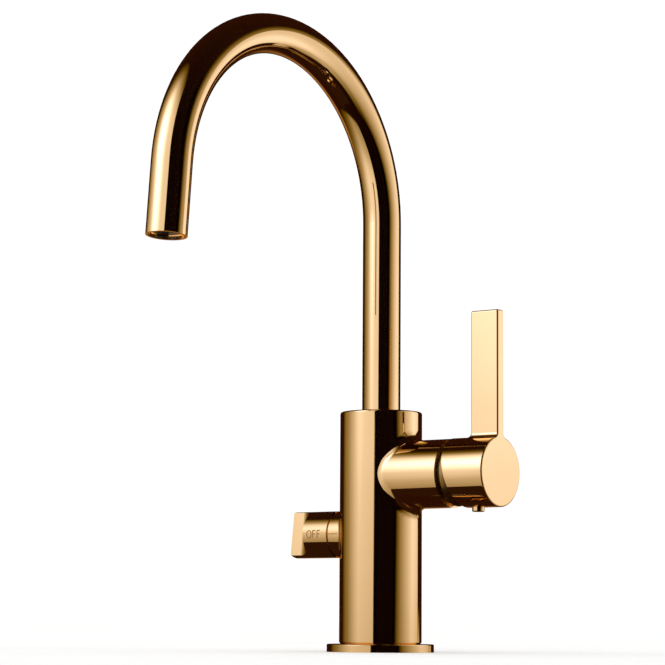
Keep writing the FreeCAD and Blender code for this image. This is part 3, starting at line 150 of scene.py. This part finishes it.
FINISH_OF = {
    GOLD: ("base_flange", "tap_body", "spout_tube", "mixer_lever", "valve_knob", "lever_screw_plug",
           "aerator_bush"),
    # The ring in the gap takes the darker gold that paints the gap's shade.
    SATIN_GOLD_AND_GAP_SHADE: ("dome_ring",),
    BRASS: ("spout_spigot", "cartridge_nut", "valve_headwork", "valve_spindle"),
    STEEL: ("spout_stop_screw", "stem_pivot_pin", "cartridge_stem", "lever_grub_screw",
            "valve_spindle_clip", "valve_knob_screw"),
    CERAMIC: ("cartridge_fixed_disc", "cartridge_moving_disc", "valve_fixed_disc", "valve_moving_disc"),
    RUBBER: ("base_gasket", "spout_o_rings", "aerator_washer", "cartridge_seals", "valve_seat_washer",
             "valve_headwork_o_ring", "valve_spindle_o_rings"),
    ACETAL: ("spout_bearing_lower", "cartridge_base", "cartridge_housing", "cartridge_carrier",
             "disc_coupler"),
    BLACK_ACETAL: ("spout_bearing_upper", "aerator_insert"),
}
for finish, names in FINISH_OF.items():
    for name in names:
        for slot in frame["nodes"][name].material_slots:
            slot.material = finish


# Words on the valve knob and the index line on its boss, with sizes in millimetres

# The height of the valve's axis is the frame's own, in metres.
VALVE_TURN = next(joint for joint in frame["joints"] if joint["name"] == "valve_turn")
VALVE_AXIS = VALVE_TURN["pos_m"][2]
BARREL_RADIUS = 13.5
LETTER_HEIGHT = 4.26
STROKE_WIDTH = 0.55
# Half of a stroke's height is above the barrel's surface.
STROKE_HEIGHT = 0.06
STROKE_STEP = 0.15
O_WIDTH = 3.2
O_POINTS = 40
F_WIDTH = 2.0
F_ARM_HEIGHT = 0.1
F_ARM_SHARE = 0.85
N_WIDTH = 2.7
# Left edges of the letters, from the column's axis.
OFF_LEFTS = (-43.15, -38.9, -35.6)
ON_LEFTS = (-42.0, -37.7)
# ON is a quarter turn above OFF, and comes to the front when the valve is open.
ON_TURN = math.pi / 2
# The index line lies in its groove, a little under the boss's surface.
INDEX_ENDS = (-27.8, -21.6)
INDEX_WIDTH = 0.36
INDEX_RADIUS = 13.4


def letter_o(left):
    """Closed stroke of an O, as an oval of points."""
    points = []
    for step in range(O_POINTS):
        turn = step * 2 * math.pi / O_POINTS
        points.append((left + O_WIDTH / 2 * (1 + math.cos(turn)), LETTER_HEIGHT / 2 * math.sin(turn)))
    return [(points, True)]


def letter_f(left):
    """Two open strokes of an F: its stem with the upper arm, and the shorter arm at its middle."""
    low, high = -LETTER_HEIGHT / 2, LETTER_HEIGHT / 2
    stem_and_arm = [(left, low), (left, high), (left + F_WIDTH, high)]
    middle_arm = [(left, F_ARM_HEIGHT), (left + F_WIDTH * F_ARM_SHARE, F_ARM_HEIGHT)]
    return [(stem_and_arm, False), (middle_arm, False)]


def letter_n(left):
    """One open stroke of an N."""
    low, high = -LETTER_HEIGHT / 2, LETTER_HEIGHT / 2
    right = left + N_WIDTH
    return [([(left, low), (left, high), (right, low), (right, high)], False)]


def stroke_curve(name, strokes):
    """Curve object of the strokes, laid flat: along the knob in X and round it in Y."""
    curve = bpy.data.curves.new(name, "CURVE")
    curve.dimensions = "3D"
    for points, closed in strokes:
        spline = curve.splines.new("POLY")
        spline.points.add(len(points) - 1)
        for point, (along, around) in zip(spline.points, points):
            point.co = (along * MM, around * MM, 0, 1)
        spline.use_cyclic_u = closed
    thing = bpy.data.objects.new(name, curve)
    bpy.context.scene.collection.objects.link(thing)
    return thing


def stroke_tree():
    """Node tree that sweeps a flat stroke along a curve and wraps it round the barrel."""
    tree = bpy.data.node_groups.new("stroke_on_barrel", "GeometryNodeTree")
    sockets = tree.interface
    sockets.new_socket("Geometry", in_out="OUTPUT", socket_type="NodeSocketGeometry")
    sockets.new_socket("Geometry", in_out="INPUT", socket_type="NodeSocketGeometry")
    for name in ("Stroke width", "Stroke height", "Stroke step", "Barrel radius", "Turn", "Axis height"):
        sockets.new_socket(name, in_out="INPUT", socket_type="NodeSocketFloat")
    given = add(tree, "NodeGroupInput").outputs
    fine = add(tree, "GeometryNodeResampleCurve", {"mode": "LENGTH"},
               {"Curve": given["Geometry"], "Length": given["Stroke step"]})
    upright = add(tree, "GeometryNodeSetCurveNormal", {"mode": "Z_UP"}, {"Curve": fine.outputs["Curve"]})
    section = add(tree, "GeometryNodeCurvePrimitiveQuadrilateral",
                  inputs={"Width": given["Stroke width"], "Height": given["Stroke height"]})
    swept = add(tree, "GeometryNodeCurveToMesh",
                inputs={"Curve": upright.outputs["Curve"], "Profile Curve": section.outputs["Curve"],
                        "Fill Caps": True})
    position = add(tree, "GeometryNodeInputPosition").outputs["Position"]
    spot = add(tree, "ShaderNodeSeparateXYZ", inputs={0: position}).outputs
    radius = add(tree, "ShaderNodeMath", {"operation": "ADD"},
                 {0: given["Barrel radius"], 1: spot["Z"]}).outputs[0]
    arc = add(tree, "ShaderNodeMath", {"operation": "DIVIDE"},
              {0: spot["Y"], 1: given["Barrel radius"]}).outputs[0]
    angle = add(tree, "ShaderNodeMath", {"operation": "ADD"}, {0: arc, 1: given["Turn"]}).outputs[0]
    cosine = add(tree, "ShaderNodeMath", {"operation": "COSINE"}, {0: angle}).outputs[0]
    sine = add(tree, "ShaderNodeMath", {"operation": "SINE"}, {0: angle}).outputs[0]
    forward = add(tree, "ShaderNodeMath", {"operation": "MULTIPLY"}, {0: radius, 1: cosine}).outputs[0]
    back = add(tree, "ShaderNodeMath", {"operation": "MULTIPLY"}, {0: forward, 1: -1.0}).outputs[0]
    height = add(tree, "ShaderNodeMath", {"operation": "MULTIPLY_ADD"},
                 {0: radius, 1: sine, 2: given["Axis height"]}).outputs[0]
    wrapped = add(tree, "ShaderNodeCombineXYZ", inputs={"X": spot["X"], "Y": back, "Z": height})
    moved = add(tree, "GeometryNodeSetPosition",
                inputs={"Geometry": swept.outputs["Mesh"], "Position": wrapped.outputs["Vector"]})
    real = add(tree, "GeometryNodeRealizeInstances", inputs={"Geometry": moved.outputs["Geometry"]})
    # The strokes take the darker gold that paints the shade in the cuts.
    coated = add(tree, "GeometryNodeSetMaterial",
                 inputs={"Geometry": real.outputs["Geometry"], "Material": ENGRAVED_GOLD_AND_CUT_SHADE})
    add(tree, "NodeGroupOutput", inputs={"Geometry": coated.outputs["Geometry"]})
    return tree


def plain_mesh(thing, tree, values, name):
    """Run a node tree on an object once and keep the result as a plain mesh object."""
    modifier = thing.modifiers.new("shape", "NODES")
    modifier.node_group = tree
    for socket in tree.interface.items_tree:
        if socket.in_out == "INPUT" and socket.name in values:
            modifier[socket.identifier] = values[socket.name]
    evaluated = thing.evaluated_get(bpy.context.evaluated_depsgraph_get())
    mesh = bpy.data.meshes.new_from_object(evaluated)
    bpy.data.objects.remove(thing)
    mesh.name = name
    piece = bpy.data.objects.new(name, mesh)
    bpy.context.scene.collection.objects.link(piece)
    return piece


def engrave_knob():
    """Put OFF and ON on the knob, and on the boss the index line that they are read against."""
    tree = stroke_tree()
    sizes = {"Stroke width": STROKE_WIDTH * MM, "Stroke height": STROKE_HEIGHT * MM,
             "Stroke step": STROKE_STEP * MM, "Barrel radius": BARREL_RADIUS * MM, "Turn": 0.0,
             "Axis height": VALVE_AXIS}
    off = letter_o(OFF_LEFTS[0]) + letter_f(OFF_LEFTS[1]) + letter_f(OFF_LEFTS[2])
    on = letter_o(ON_LEFTS[0]) + letter_n(ON_LEFTS[1])
    for name, strokes, turn in (("engraved_off", off, 0.0), ("engraved_on", on, ON_TURN)):
        piece = plain_mesh(stroke_curve(name + "_strokes", strokes), tree, {**sizes, "Turn": turn}, name)
        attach(piece, "knob")
    index_sizes = {**sizes, "Stroke width": INDEX_WIDTH * MM, "Barrel radius": INDEX_RADIUS * MM}
    line = [([(end, 0) for end in INDEX_ENDS], False)]
    piece = plain_mesh(stroke_curve("index_strokes", line), tree, index_sizes, "engraved_index")
    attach(piece, "body")


engrave_knob()


# Studio, with sizes in millimetres and turns in degrees

# The camera stands turned to the right of the tap's front, as fitted to the photograph.
CAMERA_TURN = 36.096
CAMERA_DISTANCE = 1378.463
CAMERA_HEIGHT = 18.282
CAMERA_PITCH = 6.804
CAMERA_YAW = 1.178
CAMERA_ROLL = 0.379
FOCAL_LENGTH = 130.15
SENSOR_WIDTH = 36
NEAREST_SEEN = 10

# The softboxes' sheets let a share of the light behind them through. Their own light grows warmer as it
# falls off: green falls faster than red, and blue faster still, until it is gone at a low level.
SHEER = 0.2
SHEET_COLOUR = "#FBF1FC"
GREEN_FALL = 1.18
BLUE_FALL = 1.5
BLUE_END = 0.1
LEFT_BOX = {
    "turn": -60, "away": 420, "sides": (-1200, 480), "ends": (-620, 1100), "lean": 0.11,
    "across": [(-1250, 0.0), (-800, 0.17), (-380, 0.38), (-220, 0.64), (-100, 0.9), (-20, 1.05), (60, 1.0),
               (200, 0.95), (338, 0.92), (364, 0.0)],
    "upwards": [(-620, 0.0), (-480, 0.36), (-200, 0.5), (-60, 0.62), (60, 0.9), (150, 1.04), (260, 1.04),
                (460, 1.06), (560, 0.98), (640, 0.78), (720, 0.56), (800, 0.34), (900, 0.18), (1100, 0.0)],
}
RIGHT_BOX = {
    "turn": 80, "away": 380, "sides": (-420, 382), "ends": (-350, 600), "lean": 0.25,
    "across": [(-340, 0.0), (-250, 0.22), (-130, 0.52), (-10, 0.83), (90, 1.12), (190, 1.08), (300, 0.95),
               (400, 0.8)],
    "upwards": [(-350, 0.0), (-300, 0.3), (-220, 0.5), (-60, 0.56), (0, 0.8), (50, 0.95), (150, 1.12),
                (250, 1.1), (430, 1.0), (500, 0.4), (560, 0.1), (620, 0.0)],
}
BACK_BOX = {
    "turn": 180 - CAMERA_TURN, "away": 600, "sides": (-240, -60), "ends": (-180, 30), "lean": 0,
    "across": [(-240, 0.0), (-160, 0.65), (-90, 0.7), (-60, 0.0)],
    "upwards": [(-180, 0.0), (-110, 0.8), (-40, 1.0), (0, 0.9), (30, 0.0)],
}

# The lamp far behind the left sheet.
LEFT_LAMP = {
    "turn": -63, "rise": 32.5, "away": 2000, "power": 9.5,
    "stops": [(0, 1.0), (350, 0.85), (540, 0.45), (730, 0.24), (900, 0.06), (1100, 0.0)],
}
LAMP_MIDDLE = "#B8C8FF"
LAMP_RIM = "#EEF2FF"

# The mat under the tap lies just below the floor, which isn't mirrored. Its front edge is sharp, and the
# others fade.
MAT = {
    "across": [(-230, 0.0), (-160, 1.0), (90, 1.0), (120, 0.0)],
    "along": [(-104, 1.0), (90, 1.0), (190, 0.0)],
    "top": -6,
}
MAT_COLOUR = "#2E1808"

# The dark room. Reaches to the side are cosines from a direction, and heights are sines above the level.
ROOM_FRONT = "#0E0401"
ROOM_BACK = "#301506"
ROOM_DARKEST = -0.9
GLOW_COLOUR = "#A87C48"
GLOW_TURN = 30
GLOW_EDGE, GLOW_CORE = 0.6, 0.95
GLOW_HEIGHT = -0.24
GLOW_HALF_EDGE, GLOW_HALF_CORE = 0.22, 0.06
WHITE_STRENGTH = 1.04

FLOOR_REACH = 6000


def heading(turn):
    """Level direction, turned to the left of straight back."""
    angle = math.radians(turn)
    return (-math.sin(angle), math.cos(angle), 0)


def photo_camera():
    """Camera that sees the tap as the photograph does."""
    facing = math.radians(CAMERA_TURN + CAMERA_YAW)
    pitch = math.radians(CAMERA_PITCH)
    roll = Matrix.Rotation(math.radians(CAMERA_ROLL), 4, "Z")
    level = math.cos(pitch)
    ahead = Vector((-math.sin(facing) * level, math.cos(facing) * level, math.sin(pitch)))
    right = Vector((math.cos(facing), math.sin(facing), 0))
    up = right.cross(ahead)
    axes = Matrix((right, up, -ahead)).transposed().to_4x4()
    spot = Vector((0, 0, CAMERA_HEIGHT * MM)) - Vector(heading(CAMERA_TURN)) * (CAMERA_DISTANCE * MM)
    lens = bpy.data.cameras.new("photo_camera")
    lens.lens = FOCAL_LENGTH
    lens.sensor_width = SENSOR_WIDTH
    lens.clip_start = NEAREST_SEEN * MM
    camera = bpy.data.objects.new("photo_camera", lens)
    camera.matrix_world = Matrix.Translation(spot) @ axes @ roll
    bpy.context.scene.collection.objects.link(camera)
    bpy.context.scene.camera = camera


def profile(tree, place, stops):
    """Level along one axis of a card, through stops of a place and its level."""
    low, high = stops[0][0], stops[-1][0]
    along = add(tree, "ShaderNodeMapRange",
                inputs={"Value": place, "From Min": low * MM, "From Max": high * MM})
    ramp = add(tree, "ShaderNodeValToRGB", inputs={"Fac": along.outputs["Result"]})
    elements = ramp.color_ramp.elements
    while len(elements) < len(stops):
        elements.new(0.5)
    for element, (spot, level) in zip(elements, stops):
        element.position = (spot - low) / (high - low)
        element.color = (level, level, level, 1)
    return ramp.outputs["Color"]


def card_light(name, sheer):
    """Material of a card that glows and lets a sheer share of the light behind it through."""
    material = bpy.data.materials.new(name)
    material.use_nodes = True
    tree = material.node_tree
    tree.nodes.clear()
    light = add(tree, "ShaderNodeEmission")
    clear = add(tree, "ShaderNodeBsdfTransparent", inputs={"Color": (sheer, sheer, sheer, 1)})
    both = add(tree, "ShaderNodeAddShader", inputs={0: light.outputs["Emission"], 1: clear.outputs["BSDF"]})
    add(tree, "ShaderNodeOutputMaterial", inputs={"Surface": both.outputs["Shader"]})
    place = add(tree, "ShaderNodeTexCoord").outputs["Object"]
    return material, tree, light, clear, place


def flat_card(name, corners, material):
    """Flat piece of studio gear that polished metal mirrors. It doesn't show itself or light the floor."""
    mesh = bpy.data.meshes.new(name)
    mesh.from_pydata([[length * MM for length in corner] for corner in corners], [], [(0, 1, 2, 3)])
    mesh.materials.append(material)
    card = bpy.data.objects.new(name, mesh)
    bpy.context.scene.collection.objects.link(card)
    for rays in ("camera", "diffuse", "shadow", "transmission", "volume_scatter"):
        setattr(card, "visible_" + rays, False)
    return card


def softbox(name, turn, away, sides, ends, lean, across, upwards):
    """Sheet of an upright softbox beside the tap.

    It stands turned to the right of the camera and away from the column, and reaches between its sides and
    its ends. Its level is a product of stops across and stops upwards, which lean to the right by lean
    millimetres for each one up.
    """
    material, tree, light, _, place = card_light(name, SHEER)
    part = add(tree, "ShaderNodeSeparateXYZ", inputs={0: place}).outputs
    leant = add(tree, "ShaderNodeMath", {"operation": "MULTIPLY_ADD"},
                {0: part["Z"], 1: -lean, 2: part["X"]}).outputs[0]
    level = add(tree, "ShaderNodeMath", {"operation": "MULTIPLY"},
                {0: profile(tree, leant, across), 1: profile(tree, part["Z"], upwards)}).outputs[0]
    green = add(tree, "ShaderNodeMath", {"operation": "POWER"}, {0: level, 1: GREEN_FALL}).outputs[0]
    over_end = add(tree, "ShaderNodeMath", {"operation": "SUBTRACT"}, {0: level, 1: BLUE_END}).outputs[0]
    blue_left = add(tree, "ShaderNodeMath", {"operation": "MAXIMUM"}, {0: over_end, 1: 0.0}).outputs[0]
    blue = add(tree, "ShaderNodeMath", {"operation": "POWER"}, {0: blue_left, 1: BLUE_FALL}).outputs[0]
    warmth = add(tree, "ShaderNodeCombineXYZ", inputs={"X": level, "Y": green, "Z": blue}).outputs["Vector"]
    colour = add(tree, "ShaderNodeVectorMath", {"operation": "MULTIPLY"},
                 {0: warmth, 1: linear(SHEET_COLOUR)[:3]})
    tree.links.new(colour.outputs["Vector"], light.inputs["Color"])
    left, right = sides
    low, high = ends
    card = flat_card(name, [(left, 0, low), (right, 0, low), (right, 0, high), (left, 0, high)], material)
    turned = Matrix.Rotation(math.radians(CAMERA_TURN + turn), 4, "Z")
    card.matrix_world = turned @ Matrix.Translation((0, -away * MM, 0))


def studio_lamp(name, turn, rise, away, power, stops):
    """Lamp far behind a softbox's sheet, seen through it as a round patch, bluest in its middle."""
    material, tree, light, _, place = card_light(name, SHEER)
    from_middle = add(tree, "ShaderNodeVectorMath", {"operation": "LENGTH"}, {0: place}).outputs["Value"]
    level = profile(tree, from_middle, stops)
    colour = add(tree, "ShaderNodeMix", {"data_type": "RGBA"},
                 {"Factor": level, MIX_FROM: linear(LAMP_RIM), MIX_TO: linear(LAMP_MIDDLE)})
    strength = add(tree, "ShaderNodeMath", {"operation": "MULTIPLY"}, {0: level, 1: power})
    tree.links.new(colour.outputs[MIX_RESULT], light.inputs["Color"])
    tree.links.new(strength.outputs[0], light.inputs["Strength"])
    end = stops[-1][0]
    card = flat_card(name, [(-end, 0, -end), (end, 0, -end), (end, 0, end), (-end, 0, end)], material)
    turned = Matrix.Rotation(math.radians(CAMERA_TURN + turn), 4, "Z")
    raised = Matrix.Rotation(math.radians(-rise), 4, "X")
    card.matrix_world = turned @ raised @ Matrix.Translation((0, -away * MM, 0))


def dark_mat(across, along, top):
    """Mat under the tap, which darkens what the undersides mirror, and is clear where its level is 0."""
    material, tree, light, clear, place = card_light("black_mat", 0.0)
    light.inputs["Color"].default_value = linear(MAT_COLOUR)
    part = add(tree, "ShaderNodeSeparateXYZ", inputs={0: place}).outputs
    level = add(tree, "ShaderNodeMath", {"operation": "MULTIPLY"},
                {0: profile(tree, part["X"], across), 1: profile(tree, part["Y"], along)}).outputs[0]
    seen_through = add(tree, "ShaderNodeMath", {"operation": "SUBTRACT"}, {0: 1.0, 1: level}).outputs[0]
    tree.links.new(level, light.inputs["Strength"])
    tree.links.new(seen_through, clear.inputs["Color"])
    left, right = across[0][0], across[-1][0]
    front, back = along[0][0], along[-1][0]
    corners = [(left, front, 0), (right, front, 0), (right, back, 0), (left, back, 0)]
    card = flat_card("mat", corners, material)
    card.matrix_world = Matrix.Translation((0, 0, top * MM))


def studio_world():
    """White studio, of which polished metal mirrors only the dark room behind the softboxes.

    The room is darkest on the camera's side and browner behind the tap, where it glows low down on the left.
    """
    world = bpy.data.worlds.new("studio")
    world.use_nodes = True
    bpy.context.scene.world = world
    tree = world.node_tree
    tree.nodes.clear()
    white = add(tree, "ShaderNodeBackground",
                inputs={"Color": linear("#FFFFFF"), "Strength": WHITE_STRENGTH})
    towards = add(tree, "ShaderNodeTexCoord").outputs["Generated"]
    behind = add(tree, "ShaderNodeVectorMath", {"operation": "DOT_PRODUCT"},
                 {0: towards, 1: heading(CAMERA_TURN)}).outputs["Value"]
    depth = add(tree, "ShaderNodeMapRange",
                inputs={"Value": behind, "From Min": ROOM_DARKEST}).outputs["Result"]
    brown = add(tree, "ShaderNodeMix", {"data_type": "RGBA"},
                {"Factor": depth, MIX_FROM: linear(ROOM_FRONT), MIX_TO: linear(ROOM_BACK)})
    upwards = add(tree, "ShaderNodeSeparateXYZ", inputs={0: towards}).outputs["Z"]
    off_glow = add(tree, "ShaderNodeMath", {"operation": "SUBTRACT"},
                   {0: upwards, 1: GLOW_HEIGHT}).outputs[0]
    apart = add(tree, "ShaderNodeMath", {"operation": "ABSOLUTE"}, {0: off_glow}).outputs[0]
    low = add(tree, "ShaderNodeMapRange",
              inputs={"Value": apart, "From Min": GLOW_HALF_EDGE, "From Max": GLOW_HALF_CORE})
    beside = add(tree, "ShaderNodeVectorMath", {"operation": "DOT_PRODUCT"},
                 {0: towards, 1: heading(CAMERA_TURN + GLOW_TURN)}).outputs["Value"]
    near = add(tree, "ShaderNodeMapRange",
               inputs={"Value": beside, "From Min": GLOW_EDGE, "From Max": GLOW_CORE})
    glow = add(tree, "ShaderNodeMath", {"operation": "MULTIPLY"},
               {0: low.outputs["Result"], 1: near.outputs["Result"]}).outputs[0]
    tone = add(tree, "ShaderNodeMix", {"data_type": "RGBA"},
               {"Factor": glow, MIX_FROM: brown.outputs[MIX_RESULT], MIX_TO: linear(GLOW_COLOUR)})
    room = add(tree, "ShaderNodeBackground", inputs={"Color": tone.outputs[MIX_RESULT]})
    mirrored = add(tree, "ShaderNodeLightPath").outputs["Is Glossy Ray"]
    mix = add(tree, "ShaderNodeMixShader",
              inputs={0: mirrored, 1: white.outputs["Background"], 2: room.outputs["Background"]})
    add(tree, "ShaderNodeOutputWorld", inputs={"Surface": mix.outputs["Shader"]})


def pale_floor():
    """Plain matt worktop, which polished metal doesn't mirror, as in the photograph."""
    mesh = bpy.data.meshes.new("floor")
    end = FLOOR_REACH * MM
    mesh.from_pydata([(-end, -end, 0), (end, -end, 0), (end, end, 0), (-end, end, 0)], [], [(0, 1, 2, 3)])
    floor = bpy.data.objects.new("floor", mesh)
    bpy.context.scene.collection.objects.link(floor)
    matt = {"Roughness": 0.9, "Specular IOR Level": 0.0}
    mesh.materials.append(surface("matt_white_worktop", matt, ("#FAFAF9", "#FDFDFC"), drift=300))
    floor.visible_glossy = False


photo_camera()
studio_world()
softbox("left_softbox", **LEFT_BOX)
softbox("right_softbox", **RIGHT_BOX)
softbox("back_softbox", **BACK_BOX)
studio_lamp("left_lamp", **LEFT_LAMP)
dark_mat(**MAT)
pale_floor()
bpy.context.scene.view_settings.view_transform = "Standard"
